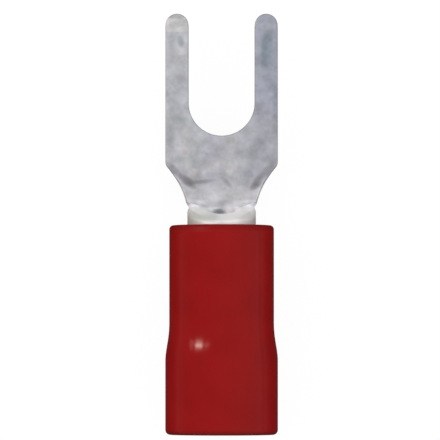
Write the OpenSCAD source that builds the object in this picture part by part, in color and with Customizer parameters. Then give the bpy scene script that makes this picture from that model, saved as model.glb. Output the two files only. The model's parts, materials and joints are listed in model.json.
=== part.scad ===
// Insulated fork terminal: a flat fork and its wire barrel in one rolled sheet, held in a moulded sleeve.
// X runs across the tines, Y along the barrel towards the tips, and Z up, on the seam's side.
// The origin is the stud's centre on the underside of the tongue. All sizes are in millimetres.

/* [Tongue] */
// Thickness of the tinned sheet
sheet_t = 0.8; // [0.5:0.05:1]
// Width across both tines
tongue_w = 5.6; // [4.8:0.1:8]
// Width of the stud slot
slot_w = 3.3; // [2.2:0.1:4]
// From the stud's centre to the tips of the tines
tine_reach = 4.45; // [3:0.05:8]
// From the stud's centre back to the shoulders
shoulder_back = 3.1; // [2.6:0.05:5]
// Radius of the hollow curve from shoulder to neck
shoulder_r = 4.6; // [3:0.1:9]

/* [Neck] */
// Flat sheet left behind the shoulders, ahead of the neck
form_back = 0.45; // [0.2:0.05:1]
// Length of the neck, back to the sides of the barrel's mouth
neck_len = 1.75; // [1.4:0.05:3]
// Length over which the neck's sides lift into a shallow trough
trough_len = 0.5; // [0.3:0.05:0.9]
// Bend of the trough, as a share of the barrel's
trough_share = 0.1; // [0.05:0.05:0.4]
// Length over which the sides roll up from the trough to the barrel
roll_len = 0.4; // [0.3:0.05:1]
// Height of the tongue's underside above the barrel's
tongue_rise = 0.3; // [0.1:0.05:0.6]
// Share of the neck's length over which its floor sinks to the barrel's
sink_share = 0.9; // [0.5:0.05:1]
// How far the barrel's mouth is cut back from its sides to its top
mouth_scoop = 0.42; // [0.2:0.02:0.8]

/* [Barrel] */
// Bore for the bared wire
barrel_bore = 1.8; // [1.4:0.05:2.4]
// Length of the closed barrel, behind its mouth
barrel_len = 5.2; // [4:0.1:6.5]
// Lead-in at the barrel's rear, where the strands enter
barrel_chamfer = 0.15; // [0.05:0.05:0.3]

/* [Sleeve] */
// Length of the sleeve
sleeve_len = 10.4; // [9:0.1:14]
// Barrel left bare between its mouth and the sleeve
barrel_show = 0.42; // [0.2:0.02:1]
// Wall of the sleeve over the barrel
front_wall = 0.88; // [0.5:0.02:1.2]
// Radial clearance of the sleeve on the barrel
sleeve_fit = 0.02; // [0.01:0.01:0.05]
// Clearance between the barrel's rear end and its seat
seat_gap = 0.03; // [0.01:0.01:0.1]
// Bore that takes the wire's insulation
insulation_bore = 4.4; // [3.2:0.1:5]
// Wall of the sleeve round the insulation
rear_wall = 0.6; // [0.4:0.05:1.2]
// How far ahead of the barrel's rear end the sleeve starts to swell
flare_lead = 0.1; // [0:0.05:0.6]
// Length of the swell from the front to the rear diameter
flare_len = 2.05; // [1:0.05:2.6]
// How much the swell keeps to its rear, as a power, where 1 is even
flare_lag = 1.5; // [1:0.1:2]
// Straight throat behind the seat, in line with the barrel's bore
throat_len = 0.15; // [0.1:0.05:0.5]
// Length of the funnel that leads the strands into the throat
funnel_len = 0.9; // [0.6:0.05:1.5]
// Rounding of the sleeve's outer corners
rim_r = 0.18; // [0.05:0.01:0.25]
// Chamfer inside the sleeve's two ends
lip = 0.15; // [0.05:0.01:0.2]

/* [Hidden] */
$fn = 96;

// Colours of the two materials
tin = [0.70, 0.71, 0.74];
red_vinyl = [0.56, 0.10, 0.10];

// How finely the rolled sheet and the sleeve's curves are stepped
ring_steps = 36;
form_steps = 28;
mouth_steps = 7;
flare_steps = 12;
rim_steps = 5;

// The rolled sheet's ends stop this far inside the faces that they join, and run this far past them
join_inset = 0.01;
join_lap = 0.05;
// The rolled edges stop this far short of the middle at the bore, where the braze closes the barrel
seam_half = 0.04;
// Cutters run this far past what they cut
over = 1;

tine_w = (tongue_w - slot_w) / 2;
bore_r = barrel_bore / 2;
barrel_r = bore_r + sheet_t;
axis_z = barrel_r - tongue_rise;

// Stations along the fork, from the shoulders back to the barrel's end
y_shoulder = -shoulder_back;
y_form = y_shoulder - form_back;
y_neck = y_form - neck_len;
y_roll = y_neck + roll_len;
y_mouth = y_neck - mouth_scoop;
y_barrel_end = y_mouth - barrel_len;

// The hollow curve passes through the shoulder's corner and the side of the neck
chord = [barrel_r - tongue_w / 2, y_neck - y_shoulder];
chord_mid = [tongue_w / 2, y_shoulder] + chord / 2;
chord_out = [-chord.y, chord.x] / norm(chord);
curve_c = chord_mid + chord_out * sqrt(shoulder_r * shoulder_r - chord * chord / 4);

seam_angle = asin(seam_half / bore_r);

// Sleeve, in radii and distances behind its front face
y_sleeve = y_mouth - barrel_show;
barrel_fit_r = barrel_r + sleeve_fit;
front_r = barrel_fit_r + front_wall;
insulation_r = insulation_bore / 2;
rear_r = insulation_r + rear_wall;
seat_d = barrel_len - barrel_show + seat_gap;
funnel_d = seat_d + throat_len;
insulation_d = funnel_d + funnel_len;
flare_d = barrel_len - barrel_show - flare_lead;

// Smooth step from 0 to 1
function smooth(t) = let(u = min(1, max(0, t))) u * u * (3 - 2 * u);

function degrees(radians) = radians * 180 / PI;

function radians(angle) = angle * PI / 180;

// Points of an arc about a centre
function arc(centre, r, from, to) =
    [for (i = [0:rim_steps])
        let(a = from + (to - from) * i / rim_steps)
        centre + r * [cos(a), sin(a)]];

// Half the width of the fork's outline between the shoulders and the neck
function neck_half(y) =
    curve_c.x - sqrt(shoulder_r * shoulder_r - (y - curve_c.y) * (y - curve_c.y));

// How tightly the sheet is rolled, as one over the radius of its underside
function roll(y) =
    let(
        trough = trough_share * smooth((y_form - y) / trough_len),
        rest = (1 - trough_share) * smooth((y_roll - y) / roll_len)
    )
    (trough + rest) / barrel_r;

// Height of the sheet's underside along its middle
function floor_z(y) = -tongue_rise * smooth((y_form - y) / (sink_share * neck_len));

// Length of sheet, from the middle to an edge, that reaches a given half width once rolled
function half_sheet(half, k) = k == 0 ? half : radians(asin(min(1, k * half))) / k;

// A point of the rolled section, s along the underside from the middle and h up through the sheet
function rolled(s, k, h) =
    let(a = degrees(k * s))
    k == 0 ? [s, h] : [sin(a) * (1 / k - h), 1 / k - cos(a) * (1 / k - h)];

// A row of points from edge to edge of the sheet, h up through it
function row(y, k, edge, h) =
    [for (i = [0:ring_steps])
        let(p = rolled(edge * (2 * i / ring_steps - 1), k, h))
        [p.x, y, p.y + floor_z(y)]];

function reversed(points) = [for (i = [len(points) - 1:-1:0]) points[i]];

// One closed section: the underside from left to right, then the upper side back again
function section(y, k, half, inset) =
    let(edge = half - inset)
    concat(row(y, k, edge, inset), reversed(row(y, k, edge, sheet_t - inset)));

// Sections of the neck, where the sides of the sheet lift and then roll up
form_sections =
    [for (i = [0:form_steps])
        let(
            y = min(y_form - join_inset, y_form - neck_len * i / form_steps),
            k = roll(y)
        )
        section(y, k, half_sheet(neck_half(y), k), 0)];

// Sections of the mouth, where the rolled edges climb over the top until they meet
mouth_sections =
    [for (i = [1:mouth_steps])
        let(
            climb = (90 - seam_angle) * i / mouth_steps,
            y = y_neck - mouth_scoop * sin(climb) / sin(90 - seam_angle),
            inset = i == mouth_steps ? join_inset : 0
        )
        section(y, 1 / barrel_r, barrel_r * radians(90 + climb), inset)];

rolled_sections = concat(
    [section(y_form + join_lap, 0, neck_half(y_form), join_inset)],
    form_sections,
    mouth_sections,
    [section(y_mouth - join_lap, 1 / barrel_r, barrel_r * radians(180 - seam_angle), join_inset)]
);

// A solid through a row of sections that run towards -Y
module loft(sections) {
    n = len(sections[0]);
    last = (len(sections) - 1) * n;
    strips = n / 2 - 2;
    polyhedron(
        points = [for (ring = sections) each ring],
        faces = concat(
            [for (r = [0:n:last - n], j = [0:n - 1])
                let(k = (j + 1) % n)
                each [[r + j, r + n + k, r + k], [r + j, r + n + j, r + n + k]]],
            [for (i = [0:strips]) [i, i + 1, n - 2 - i, n - 1 - i]],
            [for (i = [0:strips]) [last + n - 1 - i, last + n - 2 - i, last + i + 1, last + i]]
        )
    );
}

// Outline of the flat sheet: two round-tipped tines, the stud slot and the hollow shoulders
module tongue_outline() {
    tine_x = (slot_w + tine_w) / 2;
    tine_y = tine_reach - tine_w / 2;
    difference() {
        union() {
            translate([-tongue_w / 2, y_form])
                square([tongue_w, tine_y - y_form]);
            for (side = [-1, 1])
                translate([side * tine_x, tine_y])
                    circle(d = tine_w);
        }
        circle(d = slot_w);
        translate([-slot_w / 2, 0])
            square([slot_w, tine_reach + over]);
        for (side = [-1, 1])
            translate([side * curve_c.x, curve_c.y])
                circle(r = shoulder_r);
    }
}

// Barrel, closed along its top by the braze, with its bore and its rear lead-in
module barrel() {
    front = y_mouth - join_inset;
    length = front - y_barrel_end;
    difference() {
        translate([0, front, axis_z])
            rotate([90, 0, 0])
                cylinder(h = length, r = barrel_r);
        translate([0, front + over, axis_z])
            rotate([90, 0, 0])
                cylinder(h = length + 2 * over, r = bore_r);
        translate([0, y_barrel_end, axis_z])
            rotate([-90, 0, 0])
                cylinder(h = barrel_chamfer, r1 = bore_r + barrel_chamfer, r2 = bore_r);
    }
}

// Fork and barrel, stamped and rolled from one sheet
module crimp_fork() {
    color(tin) {
        linear_extrude(sheet_t)
            tongue_outline();
        loft(rolled_sections);
        barrel();
    }
}

// Sleeve, turned about the barrel's axis: rounded ends, a swell at the rear, a funnel and a seat inside
module insulating_sleeve() {
    front_corner = arc([front_r - rim_r, rim_r], rim_r, -90, 0);
    rear_corner = arc([rear_r - rim_r, sleeve_len - rim_r], rim_r, 0, 90);
    swell = [for (i = [0:flare_steps])
        let(t = i / flare_steps)
        [front_r + (rear_r - front_r) * pow(smooth(t), flare_lag), flare_d + flare_len * t]];
    inside = [
        [insulation_r + lip, sleeve_len],
        [insulation_r, sleeve_len - lip],
        [insulation_r, insulation_d],
        [bore_r, funnel_d],
        [bore_r, seat_d],
        [barrel_fit_r, seat_d],
        [barrel_fit_r, lip],
        [barrel_fit_r + lip, 0]
    ];
    color(red_vinyl)
        translate([0, y_sleeve, axis_z])
            rotate([90, 0, 0])
                rotate_extrude()
                    polygon(concat(front_corner, swell, rear_corner, inside));
}

crimp_fork();
insulating_sleeve();
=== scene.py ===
"""Insulated fork terminal: a fork and barrel in tinned sheet and a vinyl sleeve, dressed over the frame."""
import json
import math

import bmesh
import bpy
import numpy as np
from mathutils import Matrix, Vector
from mathutils.geometry import delaunay_2d_cdt


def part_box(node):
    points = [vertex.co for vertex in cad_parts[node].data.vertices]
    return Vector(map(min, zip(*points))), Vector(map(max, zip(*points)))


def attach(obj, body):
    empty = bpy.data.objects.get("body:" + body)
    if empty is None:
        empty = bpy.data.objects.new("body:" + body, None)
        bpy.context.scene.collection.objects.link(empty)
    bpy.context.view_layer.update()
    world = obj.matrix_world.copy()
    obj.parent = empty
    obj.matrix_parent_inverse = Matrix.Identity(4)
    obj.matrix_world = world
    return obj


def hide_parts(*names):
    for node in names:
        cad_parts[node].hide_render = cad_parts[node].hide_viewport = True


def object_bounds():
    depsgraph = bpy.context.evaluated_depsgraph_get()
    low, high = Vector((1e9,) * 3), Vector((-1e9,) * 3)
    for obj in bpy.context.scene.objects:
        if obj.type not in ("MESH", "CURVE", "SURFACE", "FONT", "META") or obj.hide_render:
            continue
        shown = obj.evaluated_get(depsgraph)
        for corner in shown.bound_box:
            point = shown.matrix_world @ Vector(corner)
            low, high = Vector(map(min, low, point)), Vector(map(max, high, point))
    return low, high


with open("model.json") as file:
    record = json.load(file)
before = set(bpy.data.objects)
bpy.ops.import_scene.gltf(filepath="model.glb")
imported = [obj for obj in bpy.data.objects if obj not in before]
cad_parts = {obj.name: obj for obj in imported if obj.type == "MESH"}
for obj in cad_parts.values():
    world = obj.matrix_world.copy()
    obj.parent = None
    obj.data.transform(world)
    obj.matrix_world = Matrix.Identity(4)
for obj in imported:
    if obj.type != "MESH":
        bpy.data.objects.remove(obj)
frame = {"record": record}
cad_low, cad_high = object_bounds()

# Shapes are worked out in millimetres, and become metres as their meshes are made.
MM = 0.001

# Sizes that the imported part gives
mounts = {mount["name"]: mount for mount in frame["record"]["mounts"]}
fork_low, fork_high = (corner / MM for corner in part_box("crimp_fork"))
sleeve_low, sleeve_high = (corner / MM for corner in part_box("insulating_sleeve"))
SHEET = mounts["stud_slot"]["dims"]["length_mm"]
SLOT_R = mounts["stud_slot"]["dims"]["r_mm"]
BORE_R = mounts["wire_barrel"]["dims"]["r_mm"]
INSULATION_R = mounts["insulation_entry"]["dims"]["r_mm"]
AXIS_Z = mounts["wire_barrel"]["pos_m"][2] / MM
HALF_WIDTH = fork_high.x
TIP_Y = fork_high.y
BARREL_END = fork_low.y
BARREL_R = BORE_R + SHEET
RISE = BARREL_R - AXIS_Z
SLEEVE_FRONT = sleeve_high.y
SLEEVE_REAR = sleeve_low.y
SLEEVE_LEN = SLEEVE_FRONT - SLEEVE_REAR
REAR_R = min(sleeve_high.x, -sleeve_low.x, AXIS_Z - sleeve_low.z, sleeve_high.z - AXIS_Z)
FLOOR_Z = cad_low.z / MM

# Sizes repeated from the part's source
SHOULDER_Y = -3.1
SHOULDER_R = 4.6
FORM_Y = -3.55
NECK_LEN = 1.75
TROUGH_LEN = 0.5
TROUGH_SHARE = 0.1
ROLL_LEN = 0.4
SINK_SHARE = 0.9
MOUTH_SCOOP = 0.42
FRONT_R = 2.6
BARREL_FIT_R = 1.72
SEAT_D = 4.81
FUNNEL_D = 4.96
INSULATION_D = 5.86
FLARE_D = 4.68
FLARE_LEN = 2.05
FLARE_LAG = 1.5
LIP = 0.15

# Where the neck ends, where the roll begins and how far back the mouth is scooped
NECK_Y = FORM_Y - NECK_LEN
ROLL_Y = NECK_Y + ROLL_LEN
MOUTH_Y = NECK_Y - MOUTH_SCOOP

# The sheared edge of the sheet: nearly sharp above and rounded below
TOP_ROUND = 0.05
UNDER_ROUND = 0.12

# The mouth's edge: how far it leans forward over the sheet's thickness, how far back it starts, and where
# it eases in along the sheet's edge
MOUTH_LEAN = 0.38
MOUTH_SHIFT = 0.24
MOUTH_FROM = 2.3
MOUTH_EASE = 1.0
MOUTH_FADE = 0.6

# The brazed seam: the flat sheet's half width there, and the strip of edge that is closed
SEAM_S = BARREL_R * math.pi
SEAM_REACH = 0.12

# The fork's mesh: steps in its curves, along its edge and over its faces
CURVE_STEPS = 30
HOLLOW_STEPS = 60
ROUND_STEPS = 5
WALL_STEPS = 4
EDGE_STEP = 0.05
EASING = 6
SHEET_STEP = 0.1
EDGE_CLEAR = 0.6 * SHEET_STEP
INSIDE_ONLY = 1
FILL_TOLERANCE = 1e-6

# The sleeve's rounded corners, from the front lip round the outside and back through the bore
FRONT_LIP_ROUND = 0.04
FRONT_ROUND = 0.2
REAR_ROUND = 0.25
REAR_LIP_ROUND = 0.05
FUNNEL_ROUND = 0.12
THROAT_ROUND = 0.06
INNER_LIP_ROUND = 0.03

# The sleeve's mesh: segments round it, the longest step along it and the steps in its curves
TURN_STEPS = 176
LATHE_STEP = 0.25
CORNER_STEPS = 6
SWELL_STEPS = 28


def smooth(t):
    """Smooth step from 0 to 1."""
    u = min(1.0, max(0.0, t))
    return u * u * (3 - 2 * u)


def steps(start, end, count):
    """Evenly spaced values, both ends included."""
    return [start + (end - start) * i / count for i in range(count + 1)]


def hollow_centre():
    """Centre of the hollow curve that runs from a shoulder to the side of the neck."""
    shoulder = Vector((HALF_WIDTH, SHOULDER_Y))
    chord = Vector((BARREL_R, NECK_Y)) - shoulder
    outward = Vector((-chord.y, chord.x)).normalized()
    return shoulder + chord / 2 + outward * math.sqrt(SHOULDER_R**2 - chord.length_squared / 4)


HOLLOW = hollow_centre()


def neck_half(y):
    """Half the fork's width between its shoulders and its neck."""
    return HOLLOW.x - math.sqrt(SHOULDER_R**2 - (y - HOLLOW.y) ** 2)


def roll(y):
    """How tightly the sheet is rolled, as one over the radius of its underside."""
    trough = TROUGH_SHARE * smooth((FORM_Y - y) / TROUGH_LEN)
    return (trough + (1 - TROUGH_SHARE) * smooth((ROLL_Y - y) / ROLL_LEN)) / BARREL_R


def half_sheet(y):
    """Flat sheet from the middle to the edge that gives the neck its half width once it is rolled."""
    half, tight = neck_half(y), roll(y)
    return half if tight == 0 else math.asin(min(1.0, tight * half)) / tight


def formed(s, y, h):
    """Where a point of the flat blank lies once its neck is stepped down and its barrel rolled."""
    floor = -RISE * smooth((FORM_Y - y) / (SINK_SHARE * NECK_LEN))
    tight = roll(y)
    if tight == 0:
        return Vector((s, y, floor + h))
    turn, reach = tight * s, 1 / tight - h
    return Vector((math.sin(turn) * reach, y, floor + 1 / tight - math.cos(turn) * reach))


def blank_edge():
    """Right-hand edge of the flat blank, from the slot's foot round the tine to the barrel's end."""
    tine_r = (HALF_WIDTH - SLOT_R) / 2
    tine_x = SLOT_R + tine_r
    tine_y = TIP_Y - tine_r
    quarter = steps(0, math.pi / 2, CURVE_STEPS)
    half_turn = steps(math.pi, 0, CURVE_STEPS)
    foot = [(SLOT_R * math.sin(a), -SLOT_R * math.cos(a)) for a in quarter]
    tip = [(tine_x + tine_r * math.cos(a), tine_y + tine_r * math.sin(a)) for a in half_turn]
    hollow = [(half_sheet(y), y) for y in steps(SHOULDER_Y, NECK_Y, HOLLOW_STEPS)]
    mouth = [
        (BARREL_R * (math.pi / 2 + climb), NECK_Y - MOUTH_SCOOP * math.sin(climb)) for climb in quarter
    ]
    rear = [(mouth[-1][0], BARREL_END), (0.0, BARREL_END)]
    return foot + tip + hollow + mouth[1:] + rear


def even_loop(points):
    """The closed line through the points, cut into even steps and eased at its corners."""
    closed = np.array(points + points[:1])
    lengths = np.hypot(*np.diff(closed, axis=0).T)
    along = np.concatenate([[0.0], np.cumsum(lengths)])
    stops = np.linspace(0, along[-1], round(along[-1] / EDGE_STEP) + 1)[:-1]
    loop = np.column_stack([np.interp(stops, along, closed[:, axis]) for axis in (0, 1)])
    for _ in range(EASING):
        loop = (np.roll(loop, 1, 0) + 2 * loop + np.roll(loop, -1, 0)) / 4
    return loop


def inward(loop):
    """Unit normals that point into the sheet from a loop with the sheet on its right."""
    along = np.roll(loop, -1, 0) - np.roll(loop, 1, 0)
    normals = np.column_stack([along[:, 1], -along[:, 0]])
    return normals / np.hypot(*normals.T)[:, None]


def edge_levels():
    """The sheared edge from the underside up, in steps of (inset, height, how far it is an edge)."""
    turn = [(math.sin(a), math.cos(a)) for a in steps(0, math.pi / 2, ROUND_STEPS)]
    lower = [(UNDER_ROUND * (1 - rise), UNDER_ROUND * (1 - run), rise) for rise, run in turn]
    wall = [(0.0, h, 1.0) for h in steps(UNDER_ROUND, SHEET - TOP_ROUND, WALL_STEPS)[1:-1]]
    upper = [(TOP_ROUND * (1 - run), SHEET - TOP_ROUND * (1 - rise), run) for rise, run in turn]
    return lower + wall + upper


def mouth_share(s, y):
    """How far a point of the blank's edge belongs to the barrel's open mouth."""
    if y > ROLL_Y:
        return 0.0
    return smooth((abs(s) - MOUTH_FROM) / MOUTH_EASE) * smooth((y - MOUTH_Y) / MOUTH_FADE + 1)


def grid_inside(loop):
    """Points of an even grid over the loop that keep clear of it."""
    low, high = loop.min(0), loop.max(0)
    rows = np.arange(low[1], high[1], SHEET_STEP)
    reach = math.ceil(high[0] / SHEET_STEP)
    columns = np.arange(-reach, reach + 1) * SHEET_STEP
    grid = np.array([(s, y) for y in rows for s in columns])
    gaps = np.array([((loop - point) ** 2).sum(1).min() for point in grid])
    return grid[gaps > EDGE_CLEAR**2]


def piece_from(shape, name):
    """A smooth-shaded object from a finished shape."""
    bmesh.ops.recalc_face_normals(shape, faces=shape.faces)
    for face in shape.faces:
        face.smooth = True
    mesh = bpy.data.meshes.new(name)
    shape.to_mesh(mesh)
    shape.free()
    piece = bpy.data.objects.new(name, mesh)
    bpy.context.scene.collection.objects.link(piece)
    return piece


def bridge(shape, first, second, joined=None):
    """Quads between two closed rings of as many points, but not where both ends are joined already."""
    for i in range(len(first)):
        if joined is None or not (joined[i - 1] and joined[i]):
            shape.faces.new((first[i - 1], first[i], second[i], second[i - 1]))


def tinned_fork():
    """The fork and its barrel: one sheared blank, stepped down at the neck and rolled."""
    right = blank_edge()
    left = [(-s, y) for s, y in reversed(right[1:-1])]
    outline = even_loop(right + left)
    brazed = np.abs(outline[:, 0]) > SEAM_S - SEAM_REACH
    outline[brazed, 0] = np.sign(outline[brazed, 0]) * SEAM_S
    into = inward(outline)
    into *= np.clip((SEAM_S - np.abs(outline[:, 0])) / (2 * SEAM_REACH), 0, 1)[:, None]
    levels = edge_levels()
    at_mouth = np.array([mouth_share(s, y) for s, y in outline])
    shape = bmesh.new()
    sheared = shape.verts.layers.float.new("sheared")
    rim = shape.verts.layers.float.new("rim")

    def point(s, y, h, edge=0.0, mouth=0.0):
        made = shape.verts.new(formed(s, y, h) * MM)
        made[sheared] = edge * (1 - mouth)
        made[rim] = edge * mouth
        return made

    def loop_at(inset, h):
        loop = outline + into * inset
        loop[:, 1] += at_mouth * (MOUTH_LEAN * h / SHEET - MOUTH_SHIFT)
        return loop

    def ring_at(inset, h, edge):
        ring = []
        for i, ((s, y), mouth) in enumerate(zip(loop_at(inset, h), at_mouth)):
            ring.append(ring[len(outline) - i] if brazed[i] and s < 0 else point(s, y, h, edge, mouth))
        return ring

    rings = [ring_at(*level) for level in levels]
    for lower, upper in zip(rings, rings[1:]):
        bridge(shape, lower, upper, brazed)
    for ring, (inset, h, _) in ((rings[0], levels[0]), (rings[-1], levels[-1])):
        loop = loop_at(inset, h)
        flat = [Vector(p) for p in np.concatenate([loop, grid_inside(loop)])]
        filled = delaunay_2d_cdt(flat, [], [list(range(len(loop)))], INSIDE_ONLY, FILL_TOLERANCE)
        made = dict(enumerate(ring))
        for corners in filled[2]:
            sources = [filled[3][i][0] for i in corners]
            for i in sources:
                if i not in made:
                    made[i] = point(*flat[i], h)
            shape.faces.new([made[i] for i in sources])
    inside_braze = [vertex for vertex in shape.verts if not vertex.link_faces]
    bmesh.ops.delete(shape, geom=inside_braze, context="VERTS")
    return piece_from(shape, "tinned_fork")


def rounded(corners):
    """A closed profile from (radius, distance, rounding) corners, with its long sides in short steps."""
    turned = []
    count = len(corners)
    for i, (r, d, rounding) in enumerate(corners):
        here = Vector((r, d))
        if rounding == 0:
            turned.append(here)
            continue
        before = (Vector(corners[i - 1][:2]) - here).normalized()
        after = (Vector(corners[(i + 1) % count][:2]) - here).normalized()
        half = before.angle(after) / 2
        cut = rounding / math.tan(half)
        centre = here + (before + after).normalized() * rounding / math.sin(half)
        start, end = here + before * cut - centre, here + after * cut - centre
        turned += [centre + start.slerp(end, t) * rounding for t in steps(0, 1, CORNER_STEPS)]
    profile = []
    for here, there in zip(turned, turned[1:] + turned[:1]):
        parts = max(1, math.ceil((there - here).length / LATHE_STEP))
        profile += [here.lerp(there, i / parts) for i in range(parts)]
    return profile


def vinyl_sleeve():
    """The moulded sleeve: rounded ends, a swell at the wire's end, and a funnel and a seat inside."""
    swell = [
        (FRONT_R + (REAR_R - FRONT_R) * smooth(t) ** FLARE_LAG, FLARE_D + FLARE_LEN * t, 0)
        for t in steps(0, 1, SWELL_STEPS)
    ]
    profile = rounded(
        [(BARREL_FIT_R + LIP, 0, FRONT_LIP_ROUND), (FRONT_R, 0, FRONT_ROUND)]
        + swell
        + [
            (REAR_R, SLEEVE_LEN, REAR_ROUND),
            (INSULATION_R + LIP, SLEEVE_LEN, REAR_LIP_ROUND),
            (INSULATION_R, SLEEVE_LEN - LIP, REAR_LIP_ROUND),
            (INSULATION_R, INSULATION_D, FUNNEL_ROUND),
            (BORE_R, FUNNEL_D, THROAT_ROUND),
            (BORE_R, SEAT_D, 0),
            (BARREL_FIT_R, SEAT_D, 0),
            (BARREL_FIT_R, LIP, INNER_LIP_ROUND),
        ]
    )
    shape = bmesh.new()
    turns = [2 * math.pi * i / TURN_STEPS for i in range(TURN_STEPS)]
    rings = [
        [
            shape.verts.new(Vector((r * math.sin(a), SLEEVE_FRONT - d, AXIS_Z - r * math.cos(a))) * MM)
            for a in turns
        ]
        for r, d in profile
    ]
    for first, second in zip(rings, rings[1:] + rings[:1]):
        bridge(shape, first, second)
    return piece_from(shape, "vinyl_sleeve")


class Wire:
    """What comes out of a node. Arithmetic on wires adds Math nodes."""

    def __init__(self, recipe, socket):
        self.recipe = recipe
        self.socket = socket

    def maths(self, operation, first, second):
        return self.recipe.node("ShaderNodeMath", {"operation": operation}, {0: first, 1: second})

    def __add__(self, other):
        return self.maths("ADD", self, other)

    def __radd__(self, other):
        return self.maths("ADD", other, self)

    def __sub__(self, other):
        return self.maths("SUBTRACT", self, other)

    def __rsub__(self, other):
        return self.maths("SUBTRACT", other, self)

    def __mul__(self, other):
        return self.maths("MULTIPLY", self, other)

    def __rmul__(self, other):
        return self.maths("MULTIPLY", other, self)

    def __truediv__(self, other):
        return self.maths("DIVIDE", self, other)


class Recipe:
    """A node tree that is written out step by step."""

    def __init__(self, tree):
        tree.nodes.clear()
        self.tree = tree

    def node(self, kind, settings, inputs, output=0):
        """Adds a node with its settings, then its sockets' values or wires, and gives one output."""
        made = self.tree.nodes.new(kind)
        for name, value in settings.items():
            setattr(made, name, value)
        for name, value in inputs.items():
            if isinstance(value, Wire):
                self.tree.links.new(value.socket, made.inputs[name])
            else:
                made.inputs[name].default_value = value
        return Wire(self, made.outputs[output]) if len(made.outputs) else made

    def millimetres(self):
        """Place on the part, in millimetres of its own frame."""
        place = self.node("ShaderNodeTexCoord", {}, {}, "Object")
        return self.node("ShaderNodeVectorMath", {"operation": "SCALE"}, {0: place, "Scale": 1 / MM})

    def split(self, vector):
        """The three parts of a vector."""
        made = self.node("ShaderNodeSeparateXYZ", {}, {0: vector})
        return [Wire(self, socket) for socket in made.socket.node.outputs]

    def painted(self, name):
        """A value that the mesh carries on its points."""
        return self.node("ShaderNodeAttribute", {"attribute_name": name}, {}, "Fac")

    def noise(self, place, size, seed, detail=2.0, rough=0.5):
        """Cloudy noise about 0.5, with features of a size in millimetres."""
        return self.node(
            "ShaderNodeTexNoise",
            {"noise_dimensions": "4D"},
            {"Vector": place, "W": seed, "Scale": 1 / size, "Detail": detail, "Roughness": rough},
        )

    def band(self, value, start, end, low=0.0, high=1.0):
        """Eases from low to high as a value goes from start to end."""
        return self.node(
            "ShaderNodeMapRange",
            {"interpolation_type": "SMOOTHSTEP"},
            {0: value, 1: start, 2: end, 3: low, 4: high},
        )

    def mix(self, first, second, share, blend="MIX"):
        """One colour laid over another by a share."""
        return self.node(
            "ShaderNodeMix",
            {"data_type": "RGBA", "blend_type": blend},
            {0: share, 6: first, 7: second},
            2,
        )

    def grey(self, value):
        """A value as a grey colour."""
        return self.node("ShaderNodeCombineColor", {}, {0: value, 1: value, 2: value})

    def bump(self, height, distance):
        """A surface normal from a height, where 1 stands a distance in metres proud."""
        inputs = {"Height": height, "Distance": distance, "Strength": 1.0}
        return self.node("ShaderNodeBump", {}, inputs, "Normal")

    def surface(self, inputs):
        """Ends a finish in a Principled surface."""
        made = self.node("ShaderNodeBsdfPrincipled", {}, inputs)
        self.node("ShaderNodeOutputMaterial", {}, {"Surface": made})


def paint(red, green, blue):
    """An opaque colour."""
    return (red, green, blue, 1.0)


def finish(piece, name):
    """Gives a piece an empty finish of its own and the recipe to fill it."""
    material = bpy.data.materials.new(name)
    material.use_nodes = True
    piece.data.materials.clear()
    piece.data.materials.append(material)
    return Recipe(material.node_tree)


# Noise in the tin plate, with sizes in millimetres
TIN_CLOUD = {"size": 0.9, "seed": 1.0, "detail": 3.0, "rough": 0.55}
TIN_TINT = {"size": 1.3, "seed": 5.0}
TIN_SHEEN = {"size": 1.0, "seed": 9.0}
TIN_GRAIN = {"size": 0.16, "seed": 3.0, "detail": 3.0, "rough": 0.6}
TIN_FLECK = {"size": 0.4, "seed": 11.0}

# The part of a noise's range over which it takes effect
MOTTLE_SPAN = (0.3, 0.7)
TINT_SPAN = (0.35, 0.65)
SHEEN_SPAN = (0.45, 0.7)

# The tin's brightness and roughness, each a base and what the noises add, and how far its grain stands up
LEVEL_BASE = 0.65
LEVEL_MOTTLE = 0.31
LEVEL_FLECK = 0.13
LEVEL_GRAIN = 0.2
ROUGH_BASE = 0.42
ROUGH_CLOUD = 0.12
ROUGH_GRAIN = 0.08
BUMP_CLOUD = 0.5
TIN_BUMP = 4e-6

# Colours of the bare tin, then of its areas and single marks; the pale colours of the neck, the step and the
# folds are painted light, and the dark stain colour paints shade too
VIOLET_TIN = paint(0.52, 0.52, 0.59)
BLUE_TIN = paint(0.52, 0.545, 0.57)
PALE_TIN = paint(0.585, 0.58, 0.595)
RIGHT_HALF = paint(0.43, 0.445, 0.49)
LEFT_TINE = paint(0.52, 0.545, 0.575)
RIGHT_TINE = paint(0.38, 0.40, 0.48)
NECK_LIGHT_TIN = paint(0.745, 0.76, 0.8)
TARNISH = paint(0.22, 0.29, 0.33)
TINE_SPOT = paint(0.27, 0.32, 0.34)
LEFT_TIP = paint(0.69, 0.69, 0.68)
BRIGHT_TINE = paint(0.62, 0.62, 0.64)
RIGHT_TIP = paint(0.56, 0.58, 0.63)
PALE_SIDE = paint(0.53, 0.55, 0.58)
STEP_LIGHT = paint(0.97, 0.98, 1.0)
STAIN_AND_SHADE = paint(0.2, 0.2, 0.215)
FOLD_LIGHT_TIN = paint(0.8, 0.81, 0.83)
DULL_TIN = paint(0.66, 0.69, 0.75)

# Colours of the painted light on the mouth, of the painted shade on its left, and of the painted shade on the
# barrel's flanks behind it, on the left and on the right
MOUTH_LIGHT_LEFT = paint(0.9, 0.93, 0.92)
MOUTH_LIGHT_RIGHT = paint(1.0, 1.0, 1.0)
MOUTH_SHADE = paint(0.66, 0.69, 0.67)
FLANK_SHADE_LEFT = paint(0.67, 0.69, 0.64)
FLANK_SHADE_RIGHT = paint(0.8, 0.77, 0.76)

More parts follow.
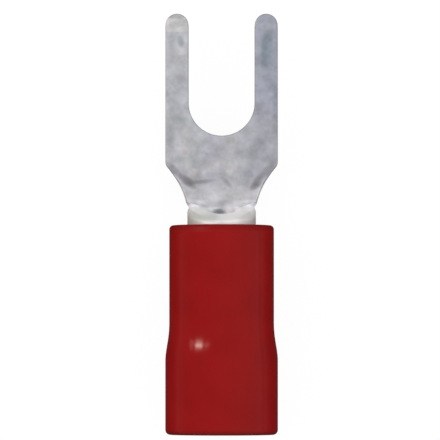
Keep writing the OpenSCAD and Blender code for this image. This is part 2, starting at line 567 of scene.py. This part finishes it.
# Areas of the tin: where each eases in, across the fork (X) or along it (Y)
RIGHT_HALF_X = (0.2, 1.8)
LEFT_TINE_X = (-1.2, -1.9)
LEFT_TINE_Y = (-0.8, 0.6)
RIGHT_TINE_X = (1.2, 1.9)
RIGHT_TINE_Y = (-2.0, 0.4)
LEFT_TIP_X = (-1.0, -1.8)
LEFT_TIP_Y = (3.47, 3.6)
# Painted light: from here back the neck is painted paler
NECK_LIGHT_Y = (-3.9, -4.4)
# Painted shade darkens the sheared edges of the tongue and tines, and painted light lightens those of the
# neck and barrel
EDGE_SHADE_AND_LIGHT_Y = (-3.3, -3.9)
EDGE_SHADE_AND_LIGHT = (0.5, 1.35)
# Painted light: from here back the mouth and the barrel are painted pale
MOUTH_LIGHT_Y = (-5.18, -5.34)
MOUTH_LIGHT_SHARE = 0.94
LEFT_TO_RIGHT_X = (-0.4, 0.5)

# The bore seen through the mouth: its middle, the radii between which it eases in, and its top
BORE_X = 0.1
BORE_OUT = 0.7
BORE_IN = 0.5
BORE_TOP_Z = (1.6, 1.2)

# Painted shade on the barrel's flanks behind the mouth: squared distance from the middle, how the flanks
# curve, and where they start
FLANK_X2 = (0.4, 1.2)
FLANK_CURVE = 0.25
FLANK_Y = (-5.86, -6.0)
FLANK_SHADE_SHARE = 0.85

# An oval mark eases in between these squared distances, in its own half lengths
MARK_OUT = 1.8
MARK_IN = 0.4

# Tinted ovals, the last of them painted light on the step where the neck sinks: colour, then place across and
# along, half length and half width, and strength
TINTS_AND_STEP_LIGHT = (
    (TARNISH, (2.26, 2.62, 0.36, 1.1), 0.7),
    (TINE_SPOT, (-2.04, 3.05, 0.2, 0.36), 0.7),
    (BRIGHT_TINE, (-2.22, 2.3, 0.55, 0.4), 0.55),
    (RIGHT_TIP, (2.22, 3.82, 0.5, 0.22), 0.5),
    (PALE_SIDE, (2.1, -1.5, 0.7, 0.4), 0.35),
    # painted light on the sloping step where the neck sinks
    (STEP_LIGHT, (0.0, -4.6, 1.5, 0.28), 0.5),
)

# Ovals at the mouth: painted light over the two folds beside it, a dull spot in it and painted shade on its
# left
LEFT_FOLD = (-1.1, -5.05, 0.6, 0.15, -8)
RIGHT_FOLD = (1.15, -5.03, 0.55, 0.15, 6)
FOLD_LIGHT_SHARE = 0.6
DULL_SPOT = (0.58, -5.27, 0.62, 0.26)
DULL_SHARE = 0.8
SHADE_SPOT = (-0.62, -5.8, 0.55, 0.32)
SHADE_SHARE = 0.7

# Dark stains, and painted shade in the neck's crescents, along its bend line and in the mouth: place across
# and along, half length, half width, lean in degrees, and strength
STAINS_AND_SHADE = (
    # painted shade in the two crescents where the neck's sides start to roll, then along the bend line across
    # the neck
    (-1.72, -3.92, 0.56, 0.24, -38, 0.9),
    (1.76, -3.98, 0.55, 0.24, 58, 0.75),
    (-0.95, -3.94, 0.85, 0.13, 7, 0.5),
    (0.27, -4.0, 0.42, 0.15, -45, 0.38),
    (2.3, -3.36, 0.62, 0.26, 45, 0.4),
    (-2.36, -3.38, 0.6, 0.22, -48, 0.6),
    # painted shadow inside the mouth, just ahead of the rim
    (-0.12, -5.42, 0.36, 0.17, 0, 0.75),
    (-2.22, 1.3, 0.6, 0.45, 0, 0.18),
    (-2.6, -1.7, 0.3, 1.3, 0, 0.22),
    (-2.2, -0.9, 0.6, 0.5, 0, 0.22),
    (2.2, -0.3, 0.5, 0.6, 0, 0.22),
    (2.22, 2.9, 0.45, 0.4, 0, 0.05),
    (-2.25, 4.3, 0.5, 0.16, 0, 0.4),
    (2.22, 4.32, 0.5, 0.2, 0, 0.1),
    (2.68, -0.9, 0.2, 2.3, 0, 0.25),
    (1.56, -4.86, 0.32, 0.28, 0, 0.22),
    (0.0, -2.2, 2.9, 1.2, 0, 0.07),
    (-1.6, -3.74, 1.2, 0.4, -10, 0.27),
    (0.0, -3.7, 1.0, 0.3, 0, 0.14),
    (1.85, -2.95, 0.8, 0.25, 0, 0.15),
    (-0.1, -5.05, 1.2, 0.2, 0, 0.27),
)

# How far each finish hides the metal
MOUTH_LIGHT_MATT = 0.6
SHEAR_MATT = 0.7
FOLD_MATT = 0.6
DULL_MATT = 0.85


def tin_plate(piece):
    """Dull tin plate: cloudy tints, tarnish and stains, with painted shade on the tongue's sheared edges, the
    neck's creases and the barrel's flanks, and painted light on the neck, its folds and the mouth.
    """
    tin = finish(piece, "tin_plate")
    place = tin.millimetres()
    across, along, up = tin.split(place)
    cloud = tin.noise(place, **TIN_CLOUD)
    grain = tin.noise(place, **TIN_GRAIN)
    mottle = tin.band(cloud, *MOTTLE_SPAN)
    fleck = tin.band(tin.noise(place, **TIN_FLECK), *MOTTLE_SPAN)
    tint = tin.band(tin.noise(place, **TIN_TINT), *TINT_SPAN)
    sheen = tin.band(tin.noise(place, **TIN_SHEEN), *SHEEN_SPAN)
    sheared = tin.painted("sheared")
    rim = tin.painted("rim")
    rightwards = tin.band(across, *LEFT_TO_RIGHT_X)

    def mark(x, y, half_long, half_wide, lean=0):
        """1 inside an oval mark that leans from the across direction, easing to 0 at its edge."""
        turn_x, turn_y = math.cos(math.radians(lean)), math.sin(math.radians(lean))
        lengthwise = ((across - x) * turn_x + (along - y) * turn_y) / half_long
        crosswise = ((along - y) * turn_x - (across - x) * turn_y) / half_wide
        return tin.band(lengthwise * lengthwise + crosswise * crosswise + cloud, MARK_OUT, MARK_IN)

    from_bore = across - BORE_X
    bore = tin.band(from_bore * from_bore, BORE_OUT**2, BORE_IN**2) * tin.band(up, *BORE_TOP_Z)
    # Painted light on the mouth, its rim and the barrel, but not over the bore
    mouth_light = 1 - (1 - rim) * (1 - tin.band(along, *MOUTH_LIGHT_Y) * (1 - bore))
    # Painted light over the folds beside the mouth
    fold_light = mark(*LEFT_FOLD) + mark(*RIGHT_FOLD)
    dull = mark(*DULL_SPOT)

    colour = tin.mix(tin.mix(VIOLET_TIN, BLUE_TIN, tint), PALE_TIN, sheen)
    for tone, where, share in (
        (RIGHT_HALF, tin.band(across, *RIGHT_HALF_X), 0.85),
        (LEFT_TINE, tin.band(across, *LEFT_TINE_X) * tin.band(along, *LEFT_TINE_Y), 0.6),
        (RIGHT_TINE, tin.band(across, *RIGHT_TINE_X) * tin.band(along, *RIGHT_TINE_Y), 0.8),
        # painted light on the neck
        (NECK_LIGHT_TIN, tin.band(along, *NECK_LIGHT_Y), 0.85),
        (LEFT_TIP, tin.band(across, *LEFT_TIP_X) * tin.band(along, *LEFT_TIP_Y), 0.7),
    ):
        colour = tin.mix(colour, tone, where * share)
    # Tints, and painted light on the step where the neck sinks
    for tone, oval, strength in TINTS_AND_STEP_LIGHT:
        colour = tin.mix(colour, tone, mark(*oval) * strength)
    # Stains, and painted shade in the neck's crescents and bend line and in the mouth
    for *oval, strength in STAINS_AND_SHADE:
        colour = tin.mix(colour, STAIN_AND_SHADE, mark(*oval) * strength)
    # Painted light over the folds
    colour = tin.mix(colour, FOLD_LIGHT_TIN, fold_light * FOLD_LIGHT_SHARE)
    colour = tin.mix(colour, DULL_TIN, dull * DULL_SHARE)

    level = LEVEL_BASE + LEVEL_MOTTLE * mottle + LEVEL_FLECK * fleck + LEVEL_GRAIN * grain
    colour = tin.mix(colour, tin.grey(level), 1.0, "MULTIPLY")
    # Painted shade on the tongue's sheared edges, painted light on the neck's
    edge_shade_and_light = tin.grey(tin.band(along, *EDGE_SHADE_AND_LIGHT_Y, *EDGE_SHADE_AND_LIGHT))
    colour = tin.mix(colour, edge_shade_and_light, sheared, "MULTIPLY")

    # Painted light on the mouth, palest on the right
    colour = tin.mix(colour, tin.mix(MOUTH_LIGHT_LEFT, MOUTH_LIGHT_RIGHT, rightwards), mouth_light * MOUTH_LIGHT_SHARE)
    colour = tin.mix(colour, MOUTH_SHADE, mark(*SHADE_SPOT) * mouth_light * SHADE_SHARE)
    # Painted shade on the barrel's flanks, where they curve away behind the mouth
    behind_mouth = along - FLANK_CURVE * across * across
    flank_shade = tin.band(across * across, *FLANK_X2) * tin.band(behind_mouth, *FLANK_Y)
    colour = tin.mix(colour, tin.mix(FLANK_SHADE_LEFT, FLANK_SHADE_RIGHT, rightwards), flank_shade * FLANK_SHADE_SHARE)

    shining = (1 - MOUTH_LIGHT_MATT * mouth_light) * (1 - SHEAR_MATT * sheared)
    shining = shining * (1 - FOLD_MATT * fold_light) * (1 - DULL_MATT * dull)
    tin.surface(
        {
            "Base Color": colour,
            "Metallic": shining,
            "Roughness": ROUGH_BASE + ROUGH_CLOUD * cloud + ROUGH_GRAIN * grain,
            "Normal": tin.bump(grain + BUMP_CLOUD * cloud, TIN_BUMP),
        }
    )


# Noise in the vinyl, with sizes in millimetres
VINYL_CLOUD = {"size": 1.6, "seed": 2.0, "detail": 3.0}
VINYL_PEEL = {"size": 0.3, "seed": 4.0}
VINYL_SPECK = {"size": 0.08, "seed": 6.0}

# The vinyl's roughness, a base and what the noises and the front rim add, its gloss and its orange peel
GLOSS_ROUGH = 0.085
GLOSS_NOISE = 0.02
FRONT_MATT = 0.3
GLOSS_LEVEL = 0.12
PEEL_SPECK = 0.15
PEEL_BUMP = 1.2e-6

# The vinyl's two reds, and where painted shade darkens its rounded ends and its front rim loses its gloss
DEEP_RED = paint(0.262, 0.002, 0.002)
CLEAR_RED = paint(0.291, 0.003, 0.003)
FRONT_SHADE_Y = (SLEEVE_FRONT - 0.36, SLEEVE_FRONT - 0.2)
FRONT_SHADE = 0.82
FRONT_MATT_Y = (SLEEVE_FRONT - 0.45, SLEEVE_FRONT - 0.3)
REAR_SHADE_Y = (SLEEVE_REAR + 0.3, SLEEVE_REAR + 0.03)
REAR_SHADE = 0.6


def red_vinyl(piece):
    """Moulded vinyl: deep red, glossy, with a fine orange peel, faint clouds and painted shade at its ends.
    """
    vinyl = finish(piece, "red_vinyl")
    place = vinyl.millimetres()
    cloud = vinyl.noise(place, **VINYL_CLOUD)
    peel = vinyl.noise(place, **VINYL_PEEL)
    speck = vinyl.noise(place, **VINYL_SPECK)
    _, along, _ = vinyl.split(place)
    # Painted shade darkens the rounded front and rear ends
    front = vinyl.band(along, *FRONT_SHADE_Y, 1.0, FRONT_SHADE)
    rear = vinyl.band(along, *REAR_SHADE_Y, 1.0, REAR_SHADE)
    front_matt = vinyl.band(along, *FRONT_MATT_Y)
    colour = vinyl.mix(DEEP_RED, CLEAR_RED, vinyl.band(cloud, *MOTTLE_SPAN))
    colour = vinyl.mix(colour, vinyl.grey(front * rear), 1.0, "MULTIPLY")
    vinyl.surface(
        {
            "Base Color": colour,
            "Roughness": GLOSS_ROUGH + GLOSS_NOISE * (cloud + speck) + FRONT_MATT * front_matt,
            "Specular IOR Level": GLOSS_LEVEL,
            "Normal": vinyl.bump(peel + PEEL_SPECK * speck, PEEL_BUMP),
        }
    )


# The floor, in metres: what the camera sees of it, and how pale it mirrors from near and from far
FLOOR_RADIUS = 0.6
FLOOR_STEPS = 96
FLOOR_PAINT = paint(0.25, 0.25, 0.25)
SEEN_GLOW = 1.27
SEEN_SHARE = 0.75
# Painted shade in reflections: close to the part the floor mirrors darker, standing in for the part's shade
# on it
MIRROR_REACH = (0.002, 0.025)
MIRROR_GLOW = (0.03, 0.6)

# The sky: its strength low and high up, and how much stronger it is on the right
SKY_HEIGHT = (0.1, 0.9)
SKY_STRENGTH = (0.8, 0.885)
SKY_RIGHT = 0.22

# The lamps: one direction and width in metres, and each one's length in metres and power in watts
LAMP_TOWARDS = Vector((-0.729, 0.307, 0.612))
LAMP_ALONG = Vector((0.67, 0.07, 0.74))
LAMP_DISTANCE = 0.6
LAMP_WIDTH = 0.008
LAMP_COLOUR = (1.0, 0.77, 0.7)
LAMPS = (("key_lamp", 0.19, 0.7), ("key_glow", 0.53, 0.21))

# The camera: its lean, what it looks at in millimetres, its distance and clip in metres, and its lens
CAMERA_TILT = math.radians(1.6)
CAMERA_AIM = Vector((-0.08, -5.854, SHEET))
CAMERA_DISTANCE = 0.2436
CAMERA_CLIP = (0.01, 10)
LENS_MM = 400
SENSOR_MM = 36


def white_floor():
    """A pale floor that renders white round the part and keeps its shadow."""
    shape = bmesh.new()
    bmesh.ops.create_circle(shape, cap_ends=True, segments=FLOOR_STEPS, radius=FLOOR_RADIUS)
    bmesh.ops.translate(shape, verts=shape.verts, vec=(0, 0, FLOOR_Z * MM))
    floor = piece_from(shape, "floor")
    white = finish(floor, "floor_white")
    path = white.node("ShaderNodeLightPath", {}, {})
    seen = {socket.name: Wire(white, socket) for socket in path.socket.node.outputs}
    mirrored = seen["Is Glossy Ray"] + seen["Is Transmission Ray"]
    # painted shade: the mirrored glow fades close to the part
    mirror_glow = white.band(seen["Ray Length"], *MIRROR_REACH, *MIRROR_GLOW)
    level = SEEN_GLOW * seen["Is Camera Ray"] + mirrored * mirror_glow
    glow = white.node("ShaderNodeEmission", {}, {"Color": white.grey(level), "Strength": 1.0})
    matt = white.node("ShaderNodeBsdfDiffuse", {}, {"Color": FLOOR_PAINT})
    share = SEEN_SHARE * seen["Is Camera Ray"] + mirrored
    both = white.node("ShaderNodeMixShader", {}, {0: share, 1: matt, 2: glow})
    white.node("ShaderNodeOutputMaterial", {}, {"Surface": both})


def studio_sky():
    """An even white sky, a little stronger overhead and on the right."""
    world = bpy.data.worlds.new("studio")
    world.use_nodes = True
    bpy.context.scene.world = world
    sky = Recipe(world.node_tree)
    side, _, up = sky.split(sky.node("ShaderNodeTexCoord", {}, {}, "Generated"))
    level = sky.band(up, *SKY_HEIGHT, *SKY_STRENGTH) * (1 + SKY_RIGHT * side)
    glow = sky.node("ShaderNodeBackground", {}, {"Color": paint(1, 1, 1), "Strength": level})
    sky.node("ShaderNodeOutputWorld", {}, {"Surface": glow})


def key_lamps():
    """A slim key lamp and a longer, fainter one in the same place, for the highlight on the swell."""
    sleeve_middle = Vector((0, SLEEVE_FRONT - SLEEVE_LEN / 2, AXIS_Z)) * MM
    across = LAMP_ALONG.cross(LAMP_TOWARDS).normalized()
    turned = Matrix((across, LAMP_TOWARDS.cross(across), LAMP_TOWARDS)).transposed()
    for name, length, power in LAMPS:
        lamp = bpy.data.lights.new(name, "AREA")
        lamp.shape = "ELLIPSE"
        lamp.size = LAMP_WIDTH
        lamp.size_y = length
        lamp.energy = power
        lamp.color = LAMP_COLOUR
        key = bpy.data.objects.new(name, lamp)
        key.location = sleeve_middle + LAMP_DISTANCE * LAMP_TOWARDS
        key.rotation_euler = turned.to_euler()
        bpy.context.scene.collection.objects.link(key)


def plan_camera():
    """A long lens that looks down on the part, leaning a little towards the sleeve."""
    lens = bpy.data.cameras.new("plan_camera")
    lens.lens = LENS_MM
    lens.sensor_width = SENSOR_MM
    lens.clip_start, lens.clip_end = CAMERA_CLIP
    camera = bpy.data.objects.new("plan_camera", lens)
    upwards = Vector((0, -math.sin(CAMERA_TILT), math.cos(CAMERA_TILT)))
    camera.location = CAMERA_AIM * MM + upwards * CAMERA_DISTANCE
    camera.rotation_euler = (CAMERA_TILT, 0, 0)
    bpy.context.scene.collection.objects.link(camera)
    bpy.context.scene.camera = camera


bpy.context.scene.view_settings.view_transform = "Standard"
plan_camera()
white_floor()
studio_sky()
key_lamps()

fork = tinned_fork()
tin_plate(fork)
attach(fork, "root")
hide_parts("crimp_fork")

sleeve = vinyl_sleeve()
red_vinyl(sleeve)
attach(sleeve, "root")
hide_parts("insulating_sleeve")
